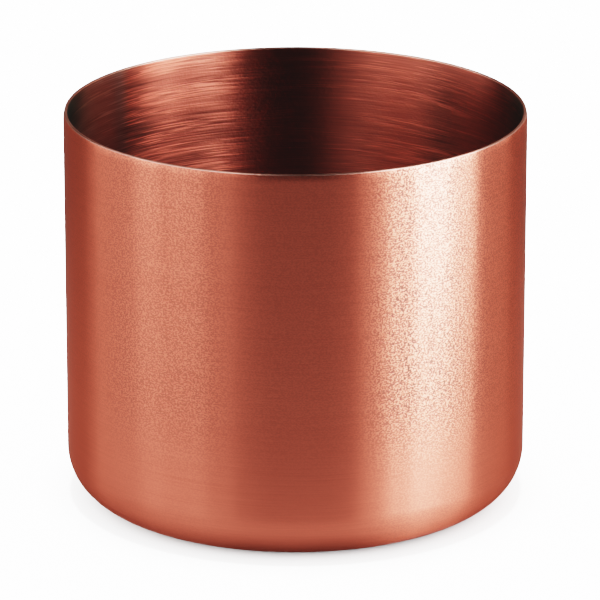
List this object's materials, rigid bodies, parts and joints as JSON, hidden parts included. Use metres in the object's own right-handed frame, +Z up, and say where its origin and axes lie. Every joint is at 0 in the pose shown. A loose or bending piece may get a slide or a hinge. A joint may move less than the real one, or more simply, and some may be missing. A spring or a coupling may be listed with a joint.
{
  "type": "bar jigger",
  "caption": "Straight-sided one-piece bar measure: an open drawn cup with a rounded bottom corner, a thin rounded lip and a brushed copper finish inside and out.",
  "frame": {"origin": "centre of the cup's footprint, on the surface that it stands on", "axes": "+Z up, along the cup's axis, out through its mouth; +X and +Y are any two directions across it, because the cup is round"},
  "size_m": [0.0428, 0.0428, 0.037],
  "materials": {
    "brushed_copper": "copper plate on steel, brushed round the cup, satin"
  },
  "bodies": {
    "root": {"cup": "brushed_copper"}
  },
  "joints": []
}
